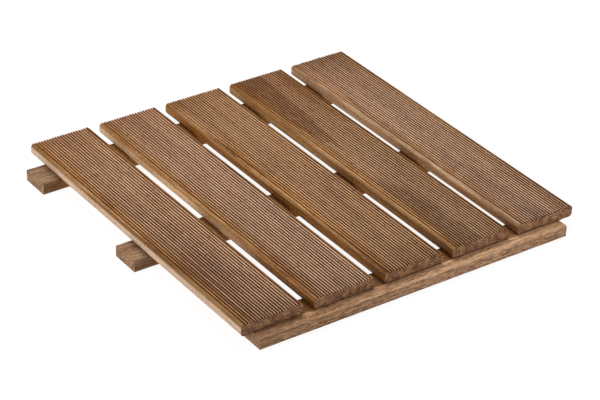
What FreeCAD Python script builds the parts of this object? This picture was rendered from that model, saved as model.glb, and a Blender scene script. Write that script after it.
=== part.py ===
import FreeCAD, Part
import os

import Sketcher

# Wooden deck tile: ribbed slats screwed from below to three battens that lock
# under the next tile. X runs across the slats, Y along them and Z up. The origin
# lies on the ground under the middle of the tile.

doc = FreeCAD.newDocument("deck_tile")

# Driving dimensions, in millimetres, apart from the number of slats and an angle

DIMENSIONS = [
    ("slat_count", 5),
    ("slat_length", 500.0),
    ("slat_width", 88.0),
    ("slat_thickness", 16.0),
    ("slat_gap", 15.0),
    ("upper_edge_radius", 5.0),
    ("lower_edge_radius", 5.0),
    ("groove_pitch", 4.0),
    ("groove_margin", 6.0),
    ("groove_mouth", 2.3),
    ("groove_floor", 1.1),
    ("groove_depth", 1.5),
    ("batten_width", 45.0),
    ("batten_thickness", 16.0),
    ("batten_edge_radius", 1.2),
    ("front_reach", 15.0),
    ("back_inset", 31.0),
    ("front_left_inset", 17.0),
    ("front_right_inset", 20.5),
    ("middle_left_reach", 20.0),
    ("middle_right_inset", 20.0),
    ("back_left_reach", 24.0),
    ("back_right_inset", 24.0),
    ("screw_diameter", 4.0),
    ("screw_tip_length", 4.0),
    ("screw_spread", 18.0),
    ("screw_stagger", 10.0),
    ("head_diameter", 8.0),
    ("head_angle", 90.0),
    ("head_rim", 0.3),
    ("head_sink", 0.3),
    ("recess_width", 1.2),
    ("recess_span", 4.2),
    ("recess_depth", 1.5),
    ("wood_over_pilot", 4.2),
    ("pilot_spare", 1.0),
]

sheet = doc.addObject("Spreadsheet::Sheet", "sizes")
for row, (name, value) in enumerate(DIMENSIONS, start=1):
    sheet.set(f"A{row}", name)
    sheet.set(f"B{row}", str(value))
    sheet.setAlias(f"B{row}", name)
doc.recompute()

# Sizes and places that follow from the dimensions, as formulas of the cells

SLAT_PITCH = "(sizes.slat_width + sizes.slat_gap)"
TILE_WIDTH = f"({SLAT_PITCH} * sizes.slat_count - sizes.slat_gap)"
LEFT_REACH = "max(sizes.middle_left_reach; sizes.back_left_reach)"
SLATS_LEFT = f"(({LEFT_REACH} - {TILE_WIDTH}) / 2)"
SLATS_FRONT = "((sizes.front_reach - sizes.slat_length) / 2)"

GROOVE_SPACES = "floor((sizes.slat_width - 2 * sizes.groove_margin) / sizes.groove_pitch)"
GROOVE_RUN = f"({GROOVE_SPACES} * sizes.groove_pitch)"
FIRST_GROOVE = f"((sizes.slat_width - {GROOVE_RUN}) / 2)"

PILOT_DEPTH = "(sizes.slat_thickness - sizes.groove_depth - sizes.wood_over_pilot)"
SCREW_LENGTH = (
    f"(sizes.batten_thickness - sizes.head_sink + {PILOT_DEPTH} - sizes.pilot_spare)"
)
HEAD_CONE = "((sizes.head_diameter - sizes.screw_diameter) / 2 / tan(sizes.head_angle / 2 * 1deg))"

# The battens' front faces and screw rows, counted back from the slats' front
# ends. The front screws sit midway along the part of the batten that is covered.

BATTEN_STEP = (
    "((sizes.slat_length + sizes.front_reach - sizes.back_inset - sizes.batten_width) / 2)"
)
BATTEN_FRONTS = [f"({step} * {BATTEN_STEP} - sizes.front_reach)" for step in range(3)]
SCREW_ROWS = ["((sizes.batten_width - sizes.front_reach) / 2)"]
SCREW_ROWS += [f"({front} + sizes.batten_width / 2)" for front in BATTEN_FRONTS[1:]]

# A batten's name, and its two ends counted right from the slats' left edge

BATTENS = [
    (
        "batten_front",
        "sizes.front_left_inset",
        f"({TILE_WIDTH} - sizes.front_right_inset)",
    ),
    (
        "batten_middle",
        "(-sizes.middle_left_reach)",
        f"({TILE_WIDTH} - sizes.middle_right_inset)",
    ),
    (
        "batten_back",
        "(-sizes.back_left_reach)",
        f"({TILE_WIDTH} - sizes.back_right_inset)",
    ),
]

# Two screws at each crossing stand on a diagonal about its middle

SCREW_SIDES = [-1, 1]

# How closely an edge has to follow a direction or a level to be picked

FOLLOWS = 0.99
LEVEL_SLACK = 0.001
FULL_TURN = 360


def worked_out(formula):
    """Gives the number that a formula of the cells comes to."""
    return float(sheet.evalExpression(formula))


def bind(thing, settings):
    """Binds properties of an object to formulas of the cells."""
    for setting, formula in settings.items():
        thing.setExpression(setting, formula)


def place(thing, x, y, z):
    """Binds an object's place to three formulas of the cells."""
    bind(thing, {"Placement.Base.x": x, "Placement.Base.y": y, "Placement.Base.z": z})


def new_body(label):
    body = doc.addObject("PartDesign::Body", label)
    body.Label = label
    return body


def origin_part(body, role):
    """Finds one of a body's own planes or axes."""
    for feature in body.Origin.OriginFeatures:
        if feature.Role == role:
            return feature
    raise ValueError(f"{body.Label} has no {role}")


def new_sketch(body, role):
    sketch = body.newObject("Sketcher::SketchObject", f"{body.Label}_sketch")
    sketch.AttachmentSupport = [(origin_part(body, role), "")]
    sketch.MapMode = "FlatFace"
    return sketch


def pin_point(sketch, geometry, point, x, y):
    """Holds a point of a sketch at two formulas, counted from the origin."""
    for direction, formula in (("DistanceX", x), ("DistanceY", y)):
        number = sketch.addConstraint(
            Sketcher.Constraint(direction, -1, 1, geometry, point, worked_out(formula))
        )
        sketch.setExpression(f"Constraints[{number}]", formula)


def add_outline(sketch, corners):
    """Draws a closed outline of straight lines through corners given as formulas."""
    places = [FreeCAD.Vector(worked_out(x), worked_out(y), 0) for x, y in corners]
    ends = places[1:] + places[:1]
    lines = [
        sketch.addGeometry(Part.LineSegment(start, end), False)
        for start, end in zip(places, ends)
    ]
    for line, following in zip(lines, lines[1:] + lines[:1]):
        sketch.addConstraint(Sketcher.Constraint("Coincident", line, 2, following, 1))
    for line, (x, y) in zip(lines, corners):
        pin_point(sketch, line, 1, x, y)


def add_circle(sketch, x, y, diameter):
    """Draws a circle whose middle and diameter are formulas."""
    centre = FreeCAD.Vector(worked_out(x), worked_out(y), 0)
    upwards = FreeCAD.Vector(0, 0, 1)
    circle = sketch.addGeometry(Part.Circle(centre, upwards, worked_out(diameter) / 2), False)
    pin_point(sketch, circle, 3, x, y)
    number = sketch.addConstraint(
        Sketcher.Constraint("Diameter", circle, worked_out(diameter))
    )
    sketch.setExpression(f"Constraints[{number}]", diameter)


def pad_box(body, width, depth, height):
    """Pads a rectangle that starts at the body's origin."""
    sketch = new_sketch(body, "XY_Plane")
    add_outline(sketch, [("0", "0"), (width, "0"), (width, depth), ("0", depth)])
    pad = body.newObject("PartDesign::Pad", f"{body.Label}_board")
    pad.Profile = sketch
    bind(pad, {"Length": height})
    doc.recompute()
    return pad


def long_edges(shape, axis, low):
    """Names the outer edges that run along an axis, at the bottom or the top."""
    box = shape.BoundBox
    level = box.ZMin if low else box.ZMax
    names = []
    for number, edge in enumerate(shape.Edges, start=1):
        start, end = (vertex.Point for vertex in edge.Vertexes)
        run = end - start
        along = abs(run.dot(axis)) > FOLLOWS * run.Length
        if along and abs(start.z - level) < LEVEL_SLACK:
            names.append(f"Edge{number}")
    return names


def round_edges(body, base, names, radius):
    fillet = body.newObject("PartDesign::Fillet", f"{body.Label}_rounding")
    fillet.Base = (base, names)
    bind(fillet, {"Radius": radius})
    doc.recompute()
    return fillet


def cut_away(body, sketch, settings, formulas):
    """Cuts a sketch out of the body, and makes sure that it took something away."""
    before = body.Shape.Volume
    pocket = body.newObject("PartDesign::Pocket", f"{body.Label}_cut")
    pocket.Profile = sketch
    for setting, value in settings.items():
        setattr(pocket, setting, value)
    bind(pocket, formulas)
    doc.recompute()
    if pocket.Shape.Volume >= before:
        raise RuntimeError(f"{pocket.Label} cuts nothing")
    return pocket


def cut_lengthwise(body, sketch):
    """Cuts a sketch on the XZ plane backwards through the whole body."""
    return cut_away(body, sketch, {"Type": "ThroughAll", "Reversed": False}, {})


def cut_upwards(body, sketch, depth):
    """Cuts a sketch on the XY plane up into the body, to a depth."""
    return cut_away(body, sketch, {"Type": "Length", "Reversed": True}, {"Length": depth})


def repeat_along(body, feature, run, copies):
    """Repeats a cut along the body's X axis over a run."""
    pattern = body.newObject("PartDesign::LinearPattern", f"{body.Label}_row")
    pattern.Originals = [feature]
    pattern.Direction = (origin_part(body, "X_Axis"), [""])
    bind(pattern, {"Length": run, "Occurrences": copies})
    body.Tip = pattern
    doc.recompute()
    return pattern


def screw_offsets():
    """Gives the places of a crossing's two screws, about its middle."""
    return [
        (f"{side} * sizes.screw_spread / 2", f"{side} * sizes.screw_stagger / 2")
        for side in SCREW_SIDES
    ]


# Slats

def groove_section():
    """Gives the corners of the first groove, on the slat's front end."""
    top = "sizes.slat_thickness"
    floor = "(sizes.slat_thickness - sizes.groove_depth)"
    return [
        (f"{FIRST_GROOVE} - sizes.groove_mouth / 2", top),
        (f"{FIRST_GROOVE} - sizes.groove_floor / 2", floor),
        (f"{FIRST_GROOVE} + sizes.groove_floor / 2", floor),
        (f"{FIRST_GROOVE} + sizes.groove_mouth / 2", top),
    ]


def make_slat(number):
    body = new_body(f"slat_{number}")
    board = pad_box(body, "sizes.slat_width", "sizes.slat_length", "sizes.slat_thickness")
    lengthwise = FreeCAD.Vector(0, 1, 0)
    lower = long_edges(board.Shape, lengthwise, low=True)
    lower_rounding = round_edges(body, board, lower, "sizes.lower_edge_radius")
    upper = long_edges(lower_rounding.Shape, lengthwise, low=False)
    round_edges(body, lower_rounding, upper, "sizes.upper_edge_radius")

    grooves = new_sketch(body, "XZ_Plane")
    add_outline(grooves, groove_section())
    groove = cut_lengthwise(body, grooves)
    repeat_along(body, groove, GROOVE_RUN, f"{GROOVE_SPACES} + 1")

    pilots = new_sketch(body, "XY_Plane")
    for row in SCREW_ROWS:
        for across, along in screw_offsets():
            add_circle(
                pilots,
                f"sizes.slat_width / 2 + {across}",
                f"{row} + {along}",
                "sizes.screw_diameter",
            )
    cut_upwards(body, pilots, PILOT_DEPTH)
    place(
        body,
        f"{SLATS_LEFT} + {number - 1} * {SLAT_PITCH}",
        SLATS_FRONT,
        "sizes.batten_thickness",
    )
    return body


# Battens

def make_batten(name, left, right, front, screw_row):
    body = new_body(name)
    board = pad_box(
        body, f"{right} - {left}", "sizes.batten_width", "sizes.batten_thickness"
    )
    lengthwise = FreeCAD.Vector(1, 0, 0)
    edges = long_edges(board.Shape, lengthwise, low=True)
    edges += long_edges(board.Shape, lengthwise, low=False)
    round_edges(body, board, edges, "sizes.batten_edge_radius")

    holes = new_sketch(body, "XY_Plane")
    for across, along in screw_offsets():
        add_circle(
            holes,
            f"sizes.slat_width / 2 - {left} + {across}",
            f"{screw_row} - {front} + {along}",
            "sizes.screw_diameter",
        )
    drilled = body.newObject("PartDesign::Hole", f"{name}_screw_holes")
    drilled.Profile = holes
    doc.recompute()
    drilled.Reversed = True
    drilled.DepthType = "ThroughAll"
    drilled.HoleCutType = "Counterdrill"
    bind(
        drilled,
        {
            "Diameter": "sizes.screw_diameter",
            "HoleCutDiameter": "sizes.head_diameter",
            "HoleCutDepth": "sizes.head_sink + sizes.head_rim",
            "HoleCutCountersinkAngle": "sizes.head_angle",
        },
    )
    doc.recompute()
    repeat_along(
        body, drilled, f"{SLAT_PITCH} * (sizes.slat_count - 1)", "sizes.slat_count"
    )
    place(body, f"{SLATS_LEFT} + {left}", f"{SLATS_FRONT} + {front}", "0")
    return body


# Screws

def make_screw():
    """Makes one countersunk screw that points up, with its head at the origin."""
    body = new_body("screw")
    shank = "sizes.screw_diameter / 2"
    head = "sizes.head_diameter / 2"
    profile = new_sketch(body, "XZ_Plane")
    add_outline(
        profile,
        [
            ("0", "0"),
            (head, "0"),
            (head, "sizes.head_rim"),
            (shank, f"sizes.head_rim + {HEAD_CONE}"),
            (shank, f"{SCREW_LENGTH} - sizes.screw_tip_length"),
            ("0", SCREW_LENGTH),
        ],
    )
    turned = body.newObject("PartDesign::Revolution", "screw_turned")
    turned.Profile = profile
    turned.ReferenceAxis = (origin_part(body, "Z_Axis"), [""])
    turned.Angle = FULL_TURN
    doc.recompute()

    half_span = "sizes.recess_span / 2"
    half_width = "sizes.recess_width / 2"
    for across, along in ((half_span, half_width), (half_width, half_span)):
        slot = new_sketch(body, "XY_Plane")
        add_outline(
            slot,
            [
                (f"-{across}", f"-{along}"),
                (across, f"-{along}"),
                (across, along),
                (f"-{across}", along),
            ],
        )
        cut_upwards(body, slot, "sizes.recess_depth")
    return body


def make_screw_group(screw, slat_count):
    """Sets one screw into each hole and gathers them all."""
    links = []
    for row in SCREW_ROWS:
        for slat in range(slat_count):
            for across, along in screw_offsets():
                link = doc.addObject("App::Link", "screw_in_place")
                link.LinkedObject = screw
                middle = f"{SLATS_LEFT} + {slat} * {SLAT_PITCH} + sizes.slat_width / 2"
                place(
                    link,
                    f"{middle} + {across}",
                    f"{SLATS_FRONT} + {row} + {along}",
                    "sizes.head_sink",
                )
                links.append(link)
    group = doc.addObject("Part::Compound", "wood_screws")
    group.Label = "wood_screws"
    group.Links = links
    return group


slat_total = int(sheet.slat_count)
nodes = [make_slat(number) for number in range(1, slat_total + 1)]
for (name, left, right), front, screw_row in zip(BATTENS, BATTEN_FRONTS, SCREW_ROWS):
    nodes.append(make_batten(name, left, right, front, screw_row))
nodes.append(make_screw_group(make_screw(), slat_total))
doc.recompute()

# Every object must have come out whole before anything is written

for item in doc.Objects:
    if "Invalid" in item.State or "Error" in item.State:
        raise RuntimeError(f"{item.Label} failed: {item.State}")
for node in nodes:
    if node.Shape.isNull() or not node.Shape.isValid():
        raise RuntimeError(f"{node.Label} has no valid shape")

os.makedirs("parts", exist_ok=True)
for node in nodes:
    box = node.Shape.BoundBox
    print(
        f"{node.Label}: {len(node.Shape.Solids)} solid, {node.Shape.Volume / 1000:.2f} cm3, "
        f"x {box.XMin:.2f} {box.XMax:.2f} y {box.YMin:.2f} {box.YMax:.2f} "
        f"z {box.ZMin:.2f} {box.ZMax:.2f}"
    )
    node.Shape.exportStep(f"parts/{node.Label}.step")
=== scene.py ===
import math
from functools import partial

import bmesh
import bpy
from mathutils import Matrix, Vector, noise


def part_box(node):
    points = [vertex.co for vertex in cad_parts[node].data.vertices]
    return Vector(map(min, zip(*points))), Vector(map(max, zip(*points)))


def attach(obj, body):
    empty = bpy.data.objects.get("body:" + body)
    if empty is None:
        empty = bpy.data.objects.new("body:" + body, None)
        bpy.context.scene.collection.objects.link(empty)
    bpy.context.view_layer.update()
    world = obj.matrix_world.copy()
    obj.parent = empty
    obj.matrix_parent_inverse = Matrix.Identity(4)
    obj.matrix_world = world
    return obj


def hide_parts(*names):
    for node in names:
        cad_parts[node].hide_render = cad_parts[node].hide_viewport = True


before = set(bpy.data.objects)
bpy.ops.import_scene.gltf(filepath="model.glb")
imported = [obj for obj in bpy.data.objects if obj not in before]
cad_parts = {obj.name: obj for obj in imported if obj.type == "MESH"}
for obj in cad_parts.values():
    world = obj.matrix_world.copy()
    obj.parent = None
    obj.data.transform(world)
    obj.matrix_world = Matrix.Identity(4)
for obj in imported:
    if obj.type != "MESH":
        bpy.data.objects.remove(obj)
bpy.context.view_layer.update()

mm = 0.001
scene = bpy.context.scene


# Helpers
def hexColour(text):
    # sRGB hex to the linear colour that the shaders take
    def linear(value):
        return value / 12.92 if value <= 0.04045 else ((value + 0.055) / 1.055) ** 2.4
    parts = [int(text[i:i + 2], 16) / 255 for i in (1, 3, 5)]
    return tuple(linear(part) for part in parts) + (1.0,)


def addNode(tree, kind, settings, *inputs, out=None, **named):
    # adds a node and gives back its first shown output, or the one that out names
    # settings: its properties, or only its operation
    # inputs: as the node shows them, or by name with underscores for spaces; each one a value,
    # a hex colour or another node's output
    node = tree.nodes.new("ShaderNode" + kind)
    for name, value in ({"operation": settings} if isinstance(settings, str) else settings).items():
        if name == "stops":
            ramp = node.color_ramp.elements
            while len(ramp) < len(value):
                ramp.new(0.5)
            for stop, (place, colour) in zip(ramp, value):
                stop.position = place
                stop.color = hexColour(colour) if isinstance(colour, str) else (colour,) * 3 + (1.0,)
        else:
            setattr(node, name, value)
    given = list(zip([socket for socket in node.inputs if socket.enabled], inputs))
    given += [(node.inputs[name.replace("_", " ")], value) for name, value in named.items()]
    for socket, value in given:
        if isinstance(value, bpy.types.NodeSocket):
            tree.links.new(value, socket)
        else:
            socket.default_value = hexColour(value) if isinstance(value, str) else value
    if out:
        return node.outputs[out]
    return next((socket for socket in node.outputs if socket.enabled), None)


def newMaterial(name):
    # the material, and addNode for its own tree
    material = bpy.data.materials.new(name)
    material.use_nodes = True
    material.node_tree.nodes.clear()
    return material, partial(addNode, material.node_tree)


def shadeFrom(add, colour, roughness, normal, **shader):
    # the last two nodes of every material of the tile
    surface = add("BsdfPrincipled", {}, Base_Color=colour, Roughness=roughness, Normal=normal, **shader)
    add("OutputMaterial", {}, Surface=surface)


def newPiece(name, bm, materials):
    # turns a bmesh into an object of the scene
    mesh = bpy.data.meshes.new(name)
    bm.to_mesh(mesh)
    bm.free()
    for material in materials:
        mesh.materials.append(material)
    piece = bpy.data.objects.new(name, mesh)
    scene.collection.objects.link(piece)
    return piece


def boxMesh(low, high):
    # a cube stretched over a node's box
    bm = bmesh.new()
    bmesh.ops.create_cube(bm, size=1.0)
    size = [high[i] - low[i] for i in range(3)]
    bmesh.ops.scale(bm, vec=size, verts=bm.verts)
    bmesh.ops.translate(bm, vec=[(low[i] + high[i]) / 2 for i in range(3)], verts=bm.verts)
    return bm


def longEdges(bm, axis, upper):
    # the edges along an axis, on the upper or the lower face of a fresh box
    levels = [vert.co.z for vert in bm.verts]
    middle = (min(levels) + max(levels)) / 2
    picked = []
    for edge in bm.edges:
        run = edge.verts[1].co - edge.verts[0].co
        if abs(run[axis]) > 0.99 * run.length:
            if all((vert.co.z > middle) == upper for vert in edge.verts):
                picked.append(edge)
    return picked


def roundEdges(bm, edges, radius, segments):
    bmesh.ops.bevel(bm, geom=edges, offset=radius, offset_type="OFFSET", affect="EDGES",
                    segments=segments, profile=0.5, material=-1, clamp_overlap=True)


def cutAcross(bm, axis, place):
    # adds a ring of edges where a plane square to the axis meets the mesh
    point, normal = Vector(), Vector()
    point[axis] = place
    normal[axis] = 1.0
    bmesh.ops.bisect_plane(bm, geom=bm.verts[:] + bm.edges[:] + bm.faces[:],
                           plane_co=point, plane_no=normal, dist=1e-7)


def divideAlong(bm, axis, cuts):
    # divides the long edges along the axis; the short ones near the ends stay
    edges = []
    for edge in bm.edges:
        run = edge.verts[1].co - edge.verts[0].co
        if abs(run[axis]) > 0.9 * run.length and run.length > 20 * mm:
            edges.append(edge)
    bmesh.ops.subdivide_edges(bm, edges=edges, cuts=cuts, use_grid_fill=True)


def wander(place, grain, seed):
    # smooth noise from -1 to 1; grain is its size in mm along each axis
    scaled = Vector([place[i] / (grain[i] * mm) for i in range(3)])
    return noise.noise(scaled + Vector((seed, -seed, 7 * seed)))


def smoothStep(value):
    value = min(max(value, 0.0), 1.0)
    return value * value * (3 - 2 * value)


def paintEnds(bm, axis):
    # the sawn ends take the piece's second material
    bm.normal_update()
    for face in bm.faces:
        if abs(face.normal[axis]) > 0.8:
            face.material_index = 1


def fillIn(looks, shared):
    # gives every board's look the shared values that it doesn't set itself
    for look in looks:
        for key, value in shared.items():
            look.setdefault(key, value)


print("helpers ready")


# Camera and studio
camera = {
    "azimuth": -35.351,          # degrees, turned left of the tile's front
    "elevation": 31.107,
    "roll": 1.510,
    "distance": 2.8637,
    "aim": (-0.0062, -0.0264, 0.016),
    "focalLength": 135.08,       # on a 36 mm wide sensor
}


def setCamera():
    azimuth, elevation, roll = (math.radians(camera[key]) for key in ("azimuth", "elevation", "roll"))
    back = Vector((math.sin(azimuth) * math.cos(elevation),
                   -math.cos(azimuth) * math.cos(elevation), math.sin(elevation)))
    lens = bpy.data.cameras.new("camera")
    lens.lens = camera["focalLength"]
    lens.sensor_width = 36.0
    lens.sensor_fit = "HORIZONTAL"
    viewer = bpy.data.objects.new("camera", lens)
    turn = back.to_track_quat("Z", "Y").to_matrix() @ Matrix.Rotation(roll, 3, "Z")
    place = Vector(camera["aim"]) + back * camera["distance"]
    viewer.matrix_world = Matrix.Translation(place) @ turn.to_4x4()
    scene.collection.objects.link(viewer)
    scene.camera = viewer


studio = {
    "floorColour": "#ffffff",
    "floorAlbedo": 0.10,         # it glows nearly white, and takes only a faint shade
    "floorGlow": 0.93,
    "floorSize": 6.0,
    "skyColour": "#fbfcff",
    "skyStrength": 0.14,
    # name, place, aim, width, height, power
    "lights": [
        ("sideLight", (-2.0, 0.5, 1.45), (0, 0, 0), 1.5, 1.2, 26.0),
        ("topLight", (0.3, 0.9, 2.2), (0, 0, 0), 1.8, 1.8, 44.0),
        ("frontLight", (1.5, -1.6, 0.5), (0, 0, 0), 0.8, 0.5, 24.0),
    ],
}


def setStudio():
    sky = bpy.data.worlds.new("studio")
    sky.use_nodes = True
    light = sky.node_tree.nodes["Background"]
    light.inputs["Color"].default_value = hexColour(studio["skyColour"])
    light.inputs["Strength"].default_value = studio["skyStrength"]
    scene.world = sky
    scene.view_settings.view_transform = "Standard"
    for name, place, aim, width, height, power in studio["lights"]:
        lamp = bpy.data.lights.new(name, "AREA")
        lamp.shape = "RECTANGLE"
        lamp.size = width
        lamp.size_y = height
        lamp.energy = power
        holder = bpy.data.objects.new(name, lamp)
        holder.location = place
        holder.rotation_euler = (Vector(place) - Vector(aim)).to_track_quat("Z", "Y").to_euler()
        scene.collection.objects.link(holder)

    bm = bmesh.new()
    bmesh.ops.create_grid(bm, x_segments=1, y_segments=1, size=studio["floorSize"] / 2)
    paper, add = newMaterial("lit backdrop paper")
    albedo = studio["floorAlbedo"]
    surface = add("BsdfPrincipled", {}, Base_Color=(albedo, albedo, albedo, 1.0), Roughness=1.0,
                  Emission_Color=studio["floorColour"], Emission_Strength=studio["floorGlow"],
                  Specular_IOR_Level=0.0)
    add("OutputMaterial", {}, Surface=surface)
    floor = newPiece("floor", bm, [paper])


setCamera()
setStudio()
print("camera and studio ready")


# Wood grain
woodGrain = {
    # what it is: its width and length in mm
    "figure": (17.0, 380.0),     # the broad lighter and darker bands
    "streak": (3.2, 130.0),
    "fibre": (1.1, 26.0),        # drawn three times as coarse as the real 0.35 mm, to show
    "pore": (0.7, 6.0),
    "hue": (30.0, 500.0),
    "mottle": (7.0, 16.0),       # where the oil soaked in unevenly
    "fleck": (2.2, 4.5),         # small dark oil spots
    "torn": (1.2, 4.0),          # fuzz that the cutter lifted
    "sawn": (1.2, 8.0),          # ridges between torn fibres on a sawn face
}
noiseSpan = (0.3, 0.7)           # nearly all of a noise lies between these
markSpans = {
    # where in its noise a mark starts to show, and where it is full
    "fleck": (0.63, 0.72),
    "pore": (0.62, 0.72),
    "speck": (0.57, 0.66),
    "fuzz": (0.51, 0.63),
    "tear": (0.47, 0.37),
}
patchShape = {
    "level": 24.0,               # mm, half way up a slat
    "height": 100.0,             # mm, so that a patch goes right through the board
    "ragged": 0.4,               # how far its rim is torn, as a share of its size
}
flameShape = {
    "bend": 3.0,                 # mm that its middle line wanders sideways
    "fray": 28.0,                # mm that the streaks draw its rim out along the grain
    "rim": (-6.0, 26.0),         # mm over which it fades in
    "faintest": 0.62,            # how strong it still is between two rings
}
woodFinish = {
    "ior": 1.45,
    "oiledGloss": 0.1,           # the oil sinks in and leaves hardly any shine
    "oiledRoughness": (0.56, 0.72),
    "oiledRelief": 0.12,         # mm
    "sawnGloss": 0.25,
    "sawnRoughness": 0.85,
    "sawnRelief": 0.5,
    "endRelief": 0.3,
}


# Settings that many nodes share
soft = {"interpolation_type": "SMOOTHSTEP"}
blend = {"data_type": "RGBA"}
capped = {"operation": "ADD", "use_clamp": True}


def toneStops(tones, low=0.0, high=1.0):
    # a ramp over the dark, middle and light colour of one wood
    return {"stops": list(zip((low, (low + high) / 2, high), tones))}


def grainNoise(add, grain, seed, detail=2.0, roughness=0.5, axis=1):
    # noise stretched along the board's length; seed moves it to another part of the tree
    width, length = woodGrain[grain]
    scale = [1 / (width * mm)] * 3
    scale[axis] = 1 / (length * mm)
    stretched = add("Mapping", {}, Vector=add("TexCoord", {}, out="Object"), Scale=scale,
                    Location=(seed * 3.7, seed * 5.1, seed * 2.3))
    return add("TexNoise", {}, Vector=stretched, Scale=1.0, Detail=detail, Roughness=roughness)


def weighedSum(add, parts, start=0.0):
    # adds up values, each given with its weight
    total = start
    for value, weight in parts:
        total = add("Math", "ADD", total, add("Math", "MULTIPLY", value, weight))
    return total


def ringWave(add, distance, ring):
    # from -1 to 1 and back over each growth ring, whose width is in mm
    return add("Math", "SINE", add("Math", "MULTIPLY", distance, 2 * math.pi / (ring * mm)))


def along(add, axis, box, stops):
    # a number that changes along one axis of a board, given at shares of the way
    place = add("SeparateXYZ", {}, add("TexCoord", {}, out="Object"), out="XYZ"[axis])
    share = add("MapRange", {}, place, box[0][axis], box[1][axis])
    return add("ValToRGB", {"stops": stops}, share)


def softPatch(add, patch, seed):
    # a knot, stain or pale patch: strongest in its middle, with a rim torn along the grain
    place = [value * mm for value in (*patch["place"], patchShape["level"])]
    size = [value * mm for value in (*patch["size"], patchShape["height"])]
    centred = add("Mapping", {"vector_type": "TEXTURE"}, Vector=add("TexCoord", {}, out="Object"),
                  Location=place, Scale=size)
    ragged = add("MapRange", {}, grainNoise(add, "streak", seed, 3.0), *noiseSpan,
                 -patchShape["ragged"], patchShape["ragged"])
    reach = add("Math", "ADD", add("VectorMath", "LENGTH", centred), ragged)
    return add("MapRange", soft, reach, 1.0, 0.1, 0.0, patch["share"])


def flame(add, arches, seed):
    # the pointed figure of a flat-sawn board: growth rings cut at a slant, as nested arches
    place = add("TexCoord", {}, out="Object")
    bend, fray = flameShape["bend"] * mm, flameShape["fray"] * mm
    wavy = add("MapRange", {}, grainNoise(add, "figure", seed, 3.0), *noiseSpan, -bend, bend)
    sideways = add("Math", "ADD", add("SeparateXYZ", {}, place, out="X"), wavy)
    sideways = add("Math", "SUBTRACT", sideways, arches["place"][0] * mm)
    slope = arches["length"] * mm / (arches["halfWidth"] * mm) ** 2
    arch = add("Math", "MULTIPLY", add("Math", "MULTIPLY", sideways, sideways), slope)
    onward = add("Math", "SUBTRACT", add("SeparateXYZ", {}, place, out="Y"), arches["place"][1] * mm)
    onward = add("Math", "MULTIPLY", onward, arches["points"])
    streaky = add("MapRange", {}, grainNoise(add, "streak", seed + 1, 3.0, 0.6), *noiseSpan, -fray, fray)
    inside = add("Math", "ADD", add("Math", "SUBTRACT", onward, arch), streaky)
    rim = [value * mm for value in flameShape["rim"]]
    share = add("MapRange", soft, inside, *rim, 0.0, arches["share"])
    rings = add("MapRange", {}, ringWave(add, inside, arches["ring"]), -1.0, 1.0,
                flameShape["faintest"], 1.0)
    return add("Math", "MULTIPLY", share, rings)


def woodBody(add, look, box, axis):
    # figure, streaks, fibres, oil marks and pores that the faces of a board share
    seed = look["seed"]
    across = 1 - axis
    figure = grainNoise(add, "figure", seed, 2.0, 0.5, axis)
    streak = grainNoise(add, "streak", seed + 1, 3.0, 0.6, axis)
    fibre = grainNoise(add, "fibre", seed + 2, 2.0, 0.6, axis)
    mottle = grainNoise(add, "mottle", seed + 7, 3.0, 0.6, axis)
    tone = weighedSum(add, [(figure, 0.24), (streak, 0.38), (fibre, 0.3), (mottle, 0.08)])
    tone = add("MapRange", {}, tone, 0.39, 0.61)
    hue = add("MapRange", {}, grainNoise(add, "hue", seed + 3, 3.0, 0.5, axis), 0.35, 0.65, -0.3, 0.3)
    goldShare = add("Math", capped, along(add, across, box, look["goldAcross"]), hue)
    colour = add("Mix", blend, goldShare, add("ValToRGB", toneStops(look["rose"]), tone),
                 add("ValToRGB", toneStops(look["gold"]), tone))
    if "edge" in look:
        bare = along(add, across, box, look["edgeAcross"])
        colour = add("Mix", blend, bare, colour, add("ValToRGB", toneStops(look["edge"]), tone))
    # the pale middles of the crests: worn bare, with a painted sheen on top
    if "crestColour" in look:
        most = look["crestShare"]
        crest = add("Attribute", {"attribute_name": "crest"}, out="Fac")
        wearAndSheen = add("Math", "MULTIPLY", crest, add("MapRange", soft, fibre, 0.35, 0.55, 0.7 * most, most))
        wearAndSheen = add("Math", "MULTIPLY", wearAndSheen, along(add, across, box, look["polishAcross"]))
        colour = add("Mix", blend, wearAndSheen, colour, look["crestColour"])
    if "tanColour" in look:
        colour = add("Mix", blend, along(add, axis, box, look["tanAlong"]), colour, look["tanColour"])
    for patch in look.get("patches", []):
        colour = add("Mix", blend, softPatch(add, patch, seed + 5), colour, patch["colour"])
    for number, arches in enumerate(look.get("flames", [])):
        colour = add("Mix", blend, flame(add, arches, seed + 8 + 3 * number), colour, arches["colour"])
    flecks = add("MapRange", soft, grainNoise(add, "fleck", seed + 6, 2.0, 0.6, axis),
                 *markSpans["fleck"], 0.0, look["fleckShare"])
    colour = add("Mix", blend, flecks, colour, look["poreColour"])
    pores = add("MapRange", soft, grainNoise(add, "pore", seed + 4, 1.0, 0.5, axis),
                *markSpans["pore"], 0.0, look["poreShare"])
    return add("Mix", blend, pores, colour, look["poreColour"]), streak, fibre, pores


def boardShade(add, look, box, axis):
    # where a board is darker or lighter, as one number: painted light and shade mixed with its own uneven
    # tone
    shade = along(add, 2, box, look["shadeUp"])
    for way, stops in ((1 - axis, look["shadeAcross"]), (axis, look["shadeAlong"])):
        shade = add("Math", "MULTIPLY", shade, along(add, way, box, stops))
    return shade


def woodRelief(add, parts, depth):
    # bump from weighed heights, in all depth mm high
    return add("Bump", {}, Strength=1.0, Distance=depth * mm, Height=weighedSum(add, parts, start=0.5))
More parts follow.
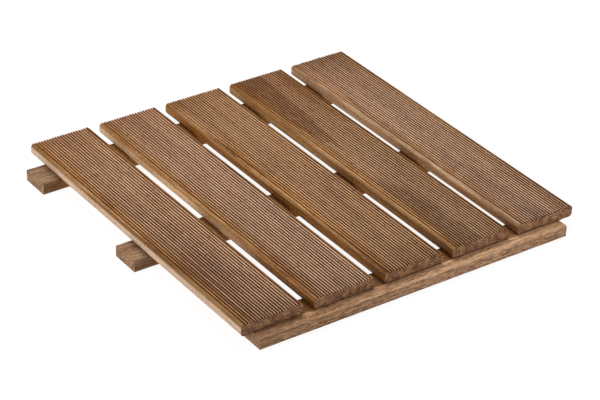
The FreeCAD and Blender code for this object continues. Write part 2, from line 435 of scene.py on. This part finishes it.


# Machined and oiled hardwood: pinkish crests where the cutter polished the ribs, with a painted sheen,
# the grooves dark with oil and painted shade, a golden shoulder, sides painted lit and shaded, and a soft
# low sheen like rubbed oil
def makeSlatWood(name, look, box):
    material, add = newMaterial(name)
    seed = look["seed"]
    colour, streak, fibre, pores = woodBody(add, look, box, 1)
    colour = add("VectorMath", "SCALE", colour, boardShade(add, look, box, 1))
    speck = grainNoise(add, "fleck", seed + 12, 3.0, 0.7)
    tone = add("MapRange", soft, weighedSum(add, [(streak, 0.5), (speck, 0.5)]), 0.36, 0.64)
    # the sides' own tone with painted light: shaded near the front where the neighbour hides the lamp, lit
    # further back
    farShare = along(add, 1, box, list(zip(look["sideTurn"], (0.0, 1.0))))
    sideColourAndLight = add("Mix", blend, farShare, add("ValToRGB", toneStops(look["sideNearToneAndLight"]), tone),
                     add("ValToRGB", toneStops(look["sideFarToneAndLight"]), tone))
    specks = add("MapRange", soft, speck, *markSpans["speck"], 0.0, look["speckShare"])
    sideColourAndLight = add("Mix", blend, specks, sideColourAndLight, look["poreColour"])
    side = add("Attribute", {"attribute_name": "side"}, out="Fac")
    colour = add("Mix", blend, side, colour, sideColourAndLight)
    # painted shade in the grooves, darker than their depth alone gives, together with the oil that
    # gathered there
    torn = grainNoise(add, "torn", seed + 6, 3.0, 0.65)
    oilAndShade = add("Math", "MULTIPLY", add("MapRange", soft, torn, *noiseSpan, 1.0, look["grimeLeast"]),
                along(add, 1, box, look["grimeAlong"]))
    groove = add("Attribute", {"attribute_name": "groove"}, out="Fac")
    grooveColour = add("Mix", blend, look["grooveTint"], look["grooveColour"], colour)
    colour = add("Mix", blend, add("Math", "MULTIPLY", groove, oilAndShade), colour, grooveColour)
    normal = woodRelief(add, [(fibre, 1.0), (torn, 0.8), (pores, -1.0)], woodFinish["oiledRelief"])
    roughness = add("MapRange", {}, streak, *noiseSpan, *woodFinish["oiledRoughness"])
    shadeFrom(add, colour, roughness, normal, IOR=woodFinish["ior"],
              Specular_IOR_Level=woodFinish["oiledGloss"])
    return material


# Wood cut straight across: open pores and rays that drank the oil and went dark and dull
def makeEndGrain(name, look):
    material, add = newMaterial(name)
    place = add("TexCoord", {}, out="Object")
    height = add("SeparateXYZ", {}, place, out="Z")
    speck = add("TexNoise", {}, Vector=place, Scale=1 / (look["speck"] * mm), Detail=3.0, Roughness=0.7)
    blotch = add("TexNoise", {}, Vector=place, Scale=1 / (look["blotch"] * mm), Detail=2.0)
    # every board has the same rings, counted from its own edge
    start, period, pith = look["start"] * mm, look["period"] * mm, look["pith"]
    local = add("Math", "WRAP", add("SeparateXYZ", {}, place, out="XYZ"[look["axis"]]),
                start + period, start)
    local = add("Math", "SUBTRACT", local, start + pith[0] * mm)
    rise = add("Math", "SUBTRACT", height, pith[1] * mm)
    radius = add("VectorMath", "LENGTH", add("CombineXYZ", {}, local, rise))
    radius = weighedSum(add, [(blotch, look["drift"] * mm)], start=radius)
    ring = add("MapRange", soft, ringWave(add, radius, look["ring"]), -1.0, 1.0, 0.42, 0.58)
    tone = weighedSum(add, [(speck, 0.5), (blotch, 0.22), (ring, 0.28)])
    colour = add("ValToRGB", toneStops(look["tones"], 0.41, 0.59), tone)
    # a painted contact shadow along the foot of the end
    foot = add("MapRange", soft, height, look["low"] * mm, (look["low"] + look["footHeight"]) * mm,
               look["footShade"], 1.0)
    colour = add("VectorMath", "SCALE", colour, foot)
    normal = add("Bump", {}, Strength=1.0, Distance=woodFinish["endRelief"] * mm, Height=speck)
    shadeFrom(add, colour, woodFinish["sawnRoughness"], normal, IOR=woodFinish["ior"],
              Specular_IOR_Level=woodFinish["sawnGloss"])
    return material


# Wood rough from the saw: lifted pale fibres between dark torn ones, hardly any sheen
def makeSawnWood(name, look, box):
    material, add = newMaterial(name)
    colour, _, fibre, pores = woodBody(add, look, box, 0)
    sawn = grainNoise(add, "sawn", look["seed"] + 11, 4.0, 0.75, axis=0)
    fuzz = add("MapRange", soft, sawn, *markSpans["fuzz"], 0.0, look["fuzzShare"])
    tears = add("MapRange", soft, sawn, *markSpans["tear"], 0.0, look["tearShare"])
    colour = add("Mix", blend, fuzz, colour, look["fuzzColour"])
    colour = add("Mix", blend, tears, colour, look["poreColour"])
    # painted shade under the slats, in the gaps between them, on the front faces and at the front batten's
    # left end
    paintedShade = add("Math", capped, along(add, 1, box, look["stainAcross"]),
                along(add, 0, box, look["stainAlong"]))
    paintedShade = add("Math", "MULTIPLY", paintedShade, along(add, 2, box, look["stainUp"]))
    colour = add("Mix", blend, paintedShade, colour, look["stainColour"])
    colour = add("VectorMath", "SCALE", colour, boardShade(add, look, box, 0))
    normal = woodRelief(add, [(sawn, 1.2), (fibre, 0.5), (pores, -0.5)], woodFinish["sawnRelief"])
    shadeFrom(add, colour, woodFinish["sawnRoughness"], normal, IOR=woodFinish["ior"],
              Specular_IOR_Level=woodFinish["sawnGloss"])
    return material


steelLook = {
    "colours": ("#8f8d88", "#c3c1ba"),
    "cloud": 2.5,                # mm
    "drawnMark": 0.25,
    "relief": 0.02,
    "roughness": (0.28, 0.46),
}


# Bright drawn steel wire, headed and passivated: a grey metal with small dull clouds
def makeSteel():
    material, add = newMaterial("screw steel")
    place = add("TexCoord", {}, out="Object")
    cloud = add("TexNoise", {}, Vector=place, Scale=1 / (steelLook["cloud"] * mm), Detail=3.0)
    fine = add("TexNoise", {}, Vector=place, Scale=1 / (steelLook["drawnMark"] * mm), Detail=2.0)
    colour = add("ValToRGB", {"stops": list(zip(noiseSpan, steelLook["colours"]))}, cloud)
    roughness = add("MapRange", {}, cloud, *noiseSpan, *steelLook["roughness"])
    normal = add("Bump", {}, Strength=0.6, Distance=steelLook["relief"] * mm, Height=fine)
    shadeFrom(add, colour, roughness, normal, Metallic=1.0)
    return material


print("materials ready")


# Slats
board = {
    # mm
    "upperRadius": 5.0,
    "lowerRadius": 5.0,
    "groovePitch": 4.0,
    "grooveDepth": 1.5,
    "grooveFloor": 1.1,          # width of the flat floor
    "grooveMouth": 2.5,          # across the rounded rims
    "ribbedDepth": 2.2,          # only what is less than this below the top is ribbed
    "sideStart": 2.6,            # how far below the top the bare side begins
    "crestWear": 0.14,           # how far a crest may be worn down
    "endRoughness": 0.75,        # how far fibres are torn back at the sawn ends
    "endChip": 0.7,              # how far a crest is broken down at its very end
    "chipLength": 4.0,
    "sideWobble": 0.16,
    "wobbleReach": 1.5,          # how far in from the side the wobble has faded out
    "rowLength": 5.0,            # length of one row of faces
    "endRows": (1.5, 4.0),       # where extra rows lie, counted from the ends
    "sideLevels": (2.4, 4.8, 7.2, 9.6, 12.0),
    # counts and degrees
    "grooveCount": 20,
    "upperSegments": 7,
    "lowerSegments": 6,
    "sharpAngle": 62,
}
slatNoise = {
    # what it shapes: the size of its waves in mm along x, y and z
    "wear": (3.0, 30.0, 10.0),
    "chip": (2.5, 4.0, 10.0),
    "tear": (2.1, 10.0, 2.3),
    "slant": (20.0, 10.0, 20.0),
    "wobble": (10.0, 50.0, 6.0),
}
slatTones = {
    # lists of stops go from left to right, from front to back or from the underside up
    "rose": ("#7e4d27", "#bb8550", "#e1b27c"),    # dark, middle and light of the pinkish wood
    "gold": ("#7a471c", "#b87f3e", "#dda865"),    # the same of the golden wood
    "edge": ("#7a4b28", "#b88552", "#ddaf7c"),    # and of the bare rounded edges
    "edgeAcross": [(0.0, 1.0), (0.055, 1.0), (0.07, 0.0), (0.94, 0.0), (0.955, 1.0), (1.0, 1.0)],
    "tanColour": "#965a27",      # the far ends took up more oil
    "tanAlong": [(0.0, 0.0), (0.7, 0.0), (1.0, 0.35)],
    "crestColour": "#fcdfce",
    "crestShare": 0.92,          # how far the middle of a crest turns pale, worn bare and with a painted sheen
    "polishAcross": [(0.0, 0.3), (0.1, 0.3), (0.22, 1.0), (1.0, 1.0)],
    "poreColour": "#44260f",     # also for the oil flecks and the specks on its sides
    "poreShare": 0.75,
    "fleckShare": 0.45,
    # the grooves' oil-dark colour, deepened with painted shade
    "grooveColour": "#461c00",
    "grooveTint": 0.06,          # how much of the board's own tone shows in its grooves
    "grimeLeast": 0.92,          # how far the oil and painted shade fill a groove where they are thinnest
    "grimeAlong": [(0.0, 1.0), (0.5, 0.9), (1.0, 0.74)],
    # painted light and shade mixed with each board's own tone: a darker rounded right edge, lighter and
    # darker shoulders and ends
    "shadeAcross": [(0.0, 0.79), (0.06, 0.80), (0.075, 0.95), (0.93, 1.0), (0.95, 0.62)],
    "shadeAlong": [(0.0, 0.85), (0.08, 1.03), (0.5, 1.05), (0.8, 1.0), (0.92, 0.95), (1.0, 0.75)],
    "shadeUp": [(0.0, 1.0), (1.0, 1.0)],
    "sideTurn": (0.2, 0.8),      # where the painted shade near the front of its sides turns into the lit tone further back
    "speckShare": 0.7,           # how dark the specks on its sides are
}
strongRibs = {
    # on the two right slats the crests are paler, with more painted sheen, and the grooves darker, with
    # more painted shade
    "crestShare": 1.0,
    "polishAcross": [(0.0, 0.3), (0.1, 0.3), (0.22, 1.0), (0.72, 1.0), (0.95, 0.7)],
    "grooveColour": "#3f1800",
}
slatLooks = [
    # from left to right; the places of patches and flames are in mm
    {"seed": 1.3, "goldAcross": [(0.0, 1.0), (0.1, 0.8), (0.35, 0.45), (1.0, 0.05)],
     "crestColour": "#fadcc6",
     "shadeAcross": [(0.0, 0.64), (0.025, 0.63), (0.057, 0.93), (0.075, 1.12), (0.2, 0.95), (0.5, 0.95),
                     (0.7, 1.03), (0.93, 1.03), (0.95, 0.7)],
     "shadeAlong": [(0.0, 0.75), (0.08, 1.0), (0.35, 1.03), (0.5, 1.04), (0.8, 1.06), (0.92, 1.03),
                    (1.0, 0.9)],
     # its outer side paler, partly a painted reflection of the bright floor
     "sideNearToneAndLight": ("#b08c6c", "#d6b394", "#ecd2bc"), "sideFarToneAndLight": ("#b48f6e", "#dcb999", "#f0d7c1"),
     "patches": [{"place": (-231, 69), "size": (8, 16), "share": 0.35, "colour": "#5a3210"},
                 {"place": (-206, 142), "size": (5, 9), "share": 0.6, "colour": "#50301a"},
                 {"place": (-227, -120), "size": (20, 150), "share": 0.6, "colour": "#6b3a12"},
                 {"place": (-205, -150), "size": (24, 90), "share": 0.25, "colour": "#5d3519"}]},
    {"seed": 4.9, "goldAcross": [(0.0, 1.0), (0.12, 0.7), (0.3, 0.3), (1.0, 0.0)],
     "shadeAcross": [(0.0, 0.79), (0.057, 0.85), (0.075, 0.92), (0.15, 0.93), (0.25, 1.0), (0.75, 1.0),
                     (0.82, 1.07), (0.93, 1.05), (0.95, 0.62)],
     "shadeAlong": [(0.0, 0.85), (0.08, 1.03), (0.5, 1.05), (0.8, 1.04), (0.92, 1.05), (1.0, 0.95)],
     # its side painted in its neighbour's shade near the front and lit further back
     "sideNearToneAndLight": ("#513014", "#744819", "#946332"), "sideFarToneAndLight": ("#a87f5c", "#d8b58b", "#ecd0ac"),
     "sideTurn": (0.22, 0.55),
     "patches": [{"place": (-57, 112), "size": (5, 9), "share": 0.6, "colour": "#50301a"},
                 {"place": (-67, -120), "size": (8, 120), "share": 0.4, "colour": "#e6bd98"},
                 {"place": (-57, 120), "size": (7, 100), "share": 0.35, "colour": "#e6bd98"}]},
    {"seed": 9.2, "goldAcross": [(0.0, 1.0), (0.15, 0.8), (0.5, 0.5), (0.7, 0.75), (1.0, 1.0)],
     "crestColour": "#f3d3b4",
     "shadeAcross": [(0.0, 0.71), (0.025, 0.68), (0.057, 1.0), (0.075, 1.27), (0.2, 1.04), (0.34, 0.97),
                     (0.42, 0.88), (0.5, 0.92), (0.57, 1.0), (0.8, 1.0), (0.88, 1.08), (0.93, 1.08),
                     (0.95, 0.62)],
     "shadeAlong": [(0.0, 0.74), (0.1, 1.04), (0.5, 1.1), (0.8, 1.02), (0.92, 0.98), (1.0, 0.85)],
     "tanAlong": [(0.0, 0.0), (0.8, 0.0), (1.0, 0.2)],
     "sideNearToneAndLight": ("#5a3311", "#80501f", "#a06c33"), "sideFarToneAndLight": ("#74461c", "#9f682f", "#bd884b"),
     "sideTurn": (0.5, 1.0),
     "patches": [{"place": (38, 168), "size": (8, 7), "share": 0.4, "colour": "#50301a"},
                 {"place": (38, 200), "size": (9, 60), "share": 0.25, "colour": "#6b3a12"},
                 {"place": (-23, 185), "size": (10, 75), "share": 0.55, "colour": "#e2b78a"},
                 {"place": (-22, -180), "size": (12, 80), "share": 0.35, "colour": "#6b3a12"}]},
    {"seed": 13.7, "goldAcross": [(0.0, 1.0), (0.15, 0.8), (0.5, 0.45), (0.8, 0.9), (1.0, 1.0)],
     **strongRibs, "crestColour": "#fbdbbd",
     "shadeAcross": [(0.0, 0.59), (0.025, 0.64), (0.057, 1.05), (0.075, 1.12), (0.2, 0.98), (0.6, 0.97),
                     (0.75, 0.9), (0.93, 0.87), (0.95, 0.6)],
     "shadeAlong": [(0.0, 0.88), (0.1, 1.01), (0.3, 1.05), (0.5, 1.08), (0.75, 1.08), (0.85, 1.1),
                    (1.0, 1.0)],
     "tanAlong": [(0.0, 0.0), (0.5, 0.05), (1.0, 0.5)],
     "sideNearToneAndLight": ("#52300f", "#72491d", "#8f6233"), "sideFarToneAndLight": ("#7a522d", "#a27544", "#bf9664"),
     "patches": [{"place": (148, 180), "size": (18, 100), "share": 0.4, "colour": "#6a3c16"},
                 {"place": (112, -130), "size": (20, 70), "share": 0.3, "colour": "#6a3c1e"}],
     "flames": [
         {"place": (98, 30), "points": 1, "length": 190, "halfWidth": 21, "ring": 34, "share": 0.6,
          "colour": "#5e3516"},
         {"place": (96, -48), "points": -1, "length": 165, "halfWidth": 18, "ring": 30, "share": 0.5,
          "colour": "#573018"}]},
    {"seed": 17.5, "goldAcross": [(0.0, 0.1), (0.15, 0.15), (0.6, 0.25), (0.8, 0.8), (1.0, 1.0)],
     "rose": ("#865537", "#c18b62", "#e2b68c"), "edge": ("#7d5a40", "#b8926f", "#dcbc98"),
     **strongRibs, "crestColour": "#ffe1c8",
     # a painted highlight on its upper left rounding
     "shadeAcross": [(0.0, 1.19), (0.025, 0.89), (0.057, 1.02), (0.075, 1.27), (0.2, 1.07), (0.4, 0.95),
                     (0.5, 0.94), (0.56, 0.99), (0.66, 0.97), (0.75, 0.9), (0.93, 1.02), (0.95, 0.62)],
     "shadeAlong": [(0.0, 0.94), (0.08, 1.1), (0.25, 1.08), (0.5, 1.05), (0.8, 1.02), (0.9, 0.96),
                    (1.0, 0.74)],
     "sideNearToneAndLight": ("#6b472d", "#946843", "#b0835d"), "sideFarToneAndLight": ("#8c6a4a", "#b48e6b", "#cfac89"),
     "flames": [
         {"place": (198, -20), "points": -1, "length": 120, "halfWidth": 20, "ring": 40, "share": 0.25,
          "colour": "#7a5138"}]},
]
fillIn(slatLooks, slatTones)
endTraits = {
    # mm: soft clouds in the tone, how far they push the rings, and the painted contact shadow at the foot
    "blotch": 9.0,
    "drift": 9.0,
    "footHeight": 4.0,
}
slatEnd = {
    "tones": ("#37200f", "#7a5439", "#c0946f"),
    "axis": 0,                   # the way in which the boards lie side by side
    "start": -245.5,             # mm from here on: the first board's edge and the step to the next
    "period": 103.0,
    "pith": (62.0, -22.0),       # where the rings have their middle, across a board and in height
    "ring": 3.6,
    "speck": 1.0,
    "low": 16.0,                 # height of the boards' undersides
    "footShade": 0.5,
}
fillIn([slatEnd], endTraits)


def grooveShare(offset):
    # 0 on a crest, 1 on the groove's floor; offset is the distance from its middle in mm
    half = board["grooveMouth"] / 2
    return smoothStep((half - offset) / (half - board["grooveFloor"] / 2))


def grooveMiddles(centre):
    first = centre - (board["grooveCount"] - 1) * board["groovePitch"] * mm / 2
    return [first + number * board["groovePitch"] * mm for number in range(board["grooveCount"])]


def cutRibs(bm, centre):
    # rings of edges along every rim, wall and crest
    floor, mouth = board["grooveFloor"] / 2, board["grooveMouth"] / 2
    steps = [floor + share * (mouth - floor) for share in (0, 1 / 3, 2 / 3, 1)]
    offsets = [-step for step in reversed(steps)] + steps + [board["groovePitch"] / 2]
    for middle in grooveMiddles(centre):
        for offset in offsets:
            cutAcross(bm, 0, middle + offset * mm)


def shapeSlat(bm, low, high, seed):
    # sinks the grooves and roughens what the saw and the cutter left
    for name in ("groove", "crest", "side"):
        bm.verts.layers.float.new(name)
    groove, crest, flank = (bm.verts.layers.float[name] for name in ("groove", "crest", "side"))
    middles = grooveMiddles((low[0] + high[0]) / 2)
    pitch = board["groovePitch"] * mm
    sideStart = board["sideStart"] * mm
    for vert in bm.verts:
        place = vert.co.copy()
        nearest = min(max(round((place.x - middles[0]) / pitch), 0), len(middles) - 1)
        offset = abs(place.x - middles[nearest]) / mm
        share = grooveShare(offset)
        atEnd = min(place.y - low[1], high[1] - place.y)
        vert[flank] = smoothStep((high[2] - place.z - sideStart) / sideStart)
        if place.z > high[2] - board["ribbedDepth"] * mm:
            away = offset > board["groovePitch"] / 2 - 0.1
            vert[crest] = 1.0 if away and middles[0] < place.x < middles[-1] else 0.0
            vert[groove] = 0.0 if away else 0.5 + min(0.5, share)
            wear = board["crestWear"] * (0.5 + 0.5 * wander(place, slatNoise["wear"], seed))
            broken = max(0.0, 1 - atEnd / (board["chipLength"] * mm)) * board["endChip"]
            broken *= max(0.0, wander(place, slatNoise["chip"], seed + 5) + 0.35)
            drop = board["grooveDepth"] * share + (wear + broken) * (1 - share)
            vert.co.z -= drop * mm
        if atEnd < 0.01 * mm:
            torn = 0.45 + 0.55 * wander(place, slatNoise["tear"], seed + 9)
            torn += 0.5 * wander(place, slatNoise["slant"], seed + 12)
            inward = 1.0 if place.y < (low[1] + high[1]) / 2 else -1.0
            vert.co.y += inward * max(torn, 0.0) * board["endRoughness"] * mm
        for side, inward in ((low[0], 1.0), (high[0], -1.0)):
            nearness = max(0.0, 1 - abs(place.x - side) / (board["wobbleReach"] * mm))
            wobble = 0.5 + 0.5 * wander(place, slatNoise["wobble"], seed + 15)
            vert.co.x += inward * nearness * wobble * board["sideWobble"] * mm


def makeSlat(number, look):
    node = f"slat_{number}"
    low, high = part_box(node)
    bm = boxMesh(low, high)
    roundEdges(bm, longEdges(bm, 1, False), board["lowerRadius"] * mm, board["lowerSegments"])
    roundEdges(bm, longEdges(bm, 1, True), board["upperRadius"] * mm, board["upperSegments"])
    cutRibs(bm, (low[0] + high[0]) / 2)
    for level in board["sideLevels"]:
        cutAcross(bm, 2, low[2] + level * mm)
    for inset in board["endRows"]:
        cutAcross(bm, 1, low[1] + inset * mm)
        cutAcross(bm, 1, high[1] - inset * mm)
    divideAlong(bm, 1, int((high[1] - low[1]) / (board["rowLength"] * mm)))
    paintEnds(bm, 1)
    shapeSlat(bm, low, high, look["seed"])
    wood = makeSlatWood(f"oiled hardwood {number}", look, (low, high))
    piece = newPiece(f"slatBoard{number}", bm, [wood, endGrain])
    piece.data.shade_smooth()
    piece.data.set_sharp_from_angle(angle=math.radians(board["sharpAngle"]))
    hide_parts(node)
    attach(piece, "root")


endGrain = makeEndGrain("sawn slat end", slatEnd)
for number, look in enumerate(slatLooks, start=1):
    makeSlat(number, look)
print("slats ready")


# Battens
runner = {
    # mm
    "edgeRadius": 1.2,
    "rowLength": 3.0,
    "rowWidth": 3.0,
    "sideLevels": (3.0, 5.5, 8.0, 10.5, 13.0),
    "sawnRoughness": 0.28,
    "roughReach": 2.0,           # how far in from a face its roughness has faded out
    "edgeChip": 1.76,
    "chipReach": 3.2,
    "screwHead": 8.3,            # the countersinks, a hair wider than the heads
    "screwShank": 4.2,
    "countersink": 2.7,
    "drillBelow": 0.5,           # how far below the batten the drill starts
    # counts and degrees
    "edgeSegments": 3,
    "drillSegments": 24,
    "sharpAngle": 50,
}
battenNoise = {
    # what it shapes: the size of its waves in mm along x, y and z
    "saw": (12.0, 4.0, 4.0),
    "fuzz": (3.0, 2.0, 2.0),
    "chip": (14.0, 20.0, 20.0),
}
battenTones = {
    "rose": ("#75503a", "#a67f61", "#cbaa8b"),
    "gold": ("#6e4826", "#9c744a", "#c09768"),
    "goldAcross": [(0.0, 0.3), (1.0, 0.5)],
    # painted shade on the front faces and beside the slats, mixed with the wood's own tone
    "shadeAcross": [(0.0, 0.7), (0.03, 0.9), (1.0, 0.9)],
    "shadeAlong": [(0.0, 1.0), (0.015, 0.97), (0.04, 0.75), (0.055, 1.0), (1.0, 1.0)],
    "shadeUp": [(0.0, 1.0), (1.0, 1.0)],
    "stainColour": "#8b5826",    # painted shade under the slats and in the gaps, in a deep oil brown
    "stainAcross": [(0.0, 0.35), (0.03, 0.0), (1.0, 0.0)],
    "stainAlong": [(0.0, 0.0), (0.045, 0.0), (0.055, 0.8), (1.0, 0.8)],
    "stainUp": [(0.0, 0.15), (0.12, 0.8), (0.3, 1.0), (1.0, 1.0)],
    "poreColour": "#402816",     # also where fibres are torn out
    "poreShare": 0.6,
    "fleckShare": 0.4,
    "fuzzColour": "#d2b496",
    "fuzzShare": 0.5,
    "tearShare": 0.55,
}
battenLooks = [
    # from front to back
    {"node": "batten_front", "seed": 21.3,
     "rose": ("#78523b", "#aa8264", "#cfad8e"),
     # painted light where the slats' shadow falls on the front strip, a painted highlight along the top
     # arris over a dark line, painted shade towards both ends, and painted shade under and between the
     # slats
     "shadeAcross": [(0.0, 0.9), (0.03, 1.25), (0.18, 1.3), (0.32, 1.75), (0.36, 1.35), (1.0, 1.35)],
     "shadeAlong": [(0.0, 0.82), (0.15, 0.98), (0.5, 1.05), (0.98, 1.05), (1.0, 0.8)],
     "shadeUp": [(0.0, 0.85), (0.7, 1.0), (0.85, 0.75), (0.93, 1.2), (1.0, 1.05)],
     "stainColour": "#5e3908",
     "stainAcross": [(0.0, 0.0), (0.33, 0.0), (0.4, 0.8), (1.0, 0.88)],
     "stainAlong": [(0.0, 0.16), (0.3, 0.05), (0.6, 0.0)],
     "fuzzColour": "#d8b493", "fuzzShare": 0.6, "tearShare": 0.7},
    {"node": "batten_middle", "seed": 26.1},
    {"node": "batten_back", "seed": 33.9,
     "shadeAcross": [(0.0, 0.65), (0.03, 0.84), (1.0, 0.84)], "stainColour": "#9a6630"},
]
fillIn(battenLooks, battenTones)
battenEnd = {
    "tones": ("#6d4c34", "#9b7454", "#c7a282"),
    "axis": 1,
    "start": -257.5,             # mm from here on, as for the slats' ends
    "period": 219.5,
    "pith": (30.0, 60.0),
    "ring": 3.2,
    "speck": 1.1,
    "low": 0.0,
    "footShade": 0.8,
}
fillIn([battenEnd], endTraits)


def shapeBatten(bm, low, high, seed):
    # the saw's waves and torn fibres, always inwards from the true faces
    reach, rim = runner["roughReach"] * mm, runner["chipReach"] * mm
    for vert in bm.verts:
        place = vert.co.copy()
        for axis in range(3):
            for side, inward in ((low[axis], 1.0), (high[axis], -1.0)):
                depth = abs(place[axis] - side) / reach
                if depth < 1:
                    rough = 0.5 + 0.5 * wander(place, battenNoise["saw"], seed + 3 * axis)
                    rough += 0.3 * wander(place, battenNoise["fuzz"], seed + 3 * axis + 1)
                    vert.co[axis] += inward * (1 - depth) * max(rough, 0.0) * runner["sawnRoughness"] * mm
        rimY = max(0.0, 1 - min(place.y - low[1], high[1] - place.y) / rim)
        rimZ = max(0.0, 1 - (high[2] - place.z) / rim)
        chip = max(0.0, wander(place, battenNoise["chip"], seed + 20) - 0.05)
        vert.co.z -= rimY * rimZ * chip * runner["edgeChip"] * mm


def screwCutter(low, high):
    # one countersunk drill for each screw that comes up through this batten
    bm = bmesh.new()
    top, below = runner["countersink"], runner["drillBelow"]
    for x, y in screwPlaces:
        if low[0] < x < high[0] and low[1] < y < high[1]:
            turned = bmesh.ops.create_cone(
                bm, cap_ends=True, segments=runner["drillSegments"], depth=(top + below) * mm,
                radius1=runner["screwHead"] / 2 * mm + below * mm, radius2=runner["screwShank"] / 2 * mm)
            bmesh.ops.translate(bm, vec=(x, y, (top - below) / 2 * mm), verts=turned["verts"])
    return bm


def drill(piece, cutter):
    # takes the cutter out of the piece and gives back the finished mesh
    tool = newPiece("drill", cutter, [])
    cut = piece.modifiers.new("screwHoles", "BOOLEAN")
    cut.operation = "DIFFERENCE"
    cut.solver = "EXACT"
    cut.object = tool
    evaluated = piece.evaluated_get(bpy.context.evaluated_depsgraph_get())
    mesh = bpy.data.meshes.new_from_object(evaluated)
    piece.modifiers.clear()
    bpy.data.objects.remove(tool, do_unlink=True)
    return mesh


def makeBatten(look):
    low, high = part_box(look["node"])
    bm = boxMesh(low, high)
    edges = longEdges(bm, 0, False) + longEdges(bm, 0, True)
    roundEdges(bm, edges, runner["edgeRadius"] * mm, runner["edgeSegments"])
    rows = int((high[1] - low[1]) / (runner["rowWidth"] * mm))
    for row in range(1, rows):
        cutAcross(bm, 1, low[1] + (high[1] - low[1]) * row / rows)
    for level in runner["sideLevels"]:
        cutAcross(bm, 2, low[2] + level * mm)
    divideAlong(bm, 0, int((high[0] - low[0]) / (runner["rowLength"] * mm)))
    paintEnds(bm, 0)
    shapeBatten(bm, low, high, look["seed"])
    name = look["node"].replace("batten_", "") + "Batten"
    wood = makeSawnWood("rough sawn wood of " + name, look, (low, high))
    piece = newPiece(name, bm, [wood, sawnEnd])
    drilled = drill(piece, screwCutter(low, high))
    drilled.shade_smooth()
    drilled.set_sharp_from_angle(angle=math.radians(runner["sharpAngle"]))
    piece.data = drilled
    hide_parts(look["node"])
    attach(piece, "root")


def findScrews(node):
    # the middle of each separate screw in the node
    bm = bmesh.new()
    bm.from_mesh(node.data)
    bmesh.ops.remove_doubles(bm, verts=bm.verts, dist=1e-6)
    unseen = set(bm.verts)
    places = []
    while unseen:
        stack = [unseen.pop()]
        island = list(stack)
        while stack:
            for edge in stack.pop().link_edges:
                for vert in edge.verts:
                    if vert in unseen:
                        unseen.remove(vert)
                        stack.append(vert)
                        island.append(vert)
        xs = [vert.co.x for vert in island]
        ys = [vert.co.y for vert in island]
        places.append(((min(xs) + max(xs)) / 2, (min(ys) + max(ys)) / 2))
    bm.free()
    return sorted(places)


sawnEnd = makeEndGrain("sawn batten end", battenEnd)
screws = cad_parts["wood_screws"]
screwPlaces = findScrews(screws)
for look in battenLooks:
    makeBatten(look)
screws.data.materials.clear()
screws.data.materials.append(makeSteel())
print("battens and screws ready", len(screwPlaces))
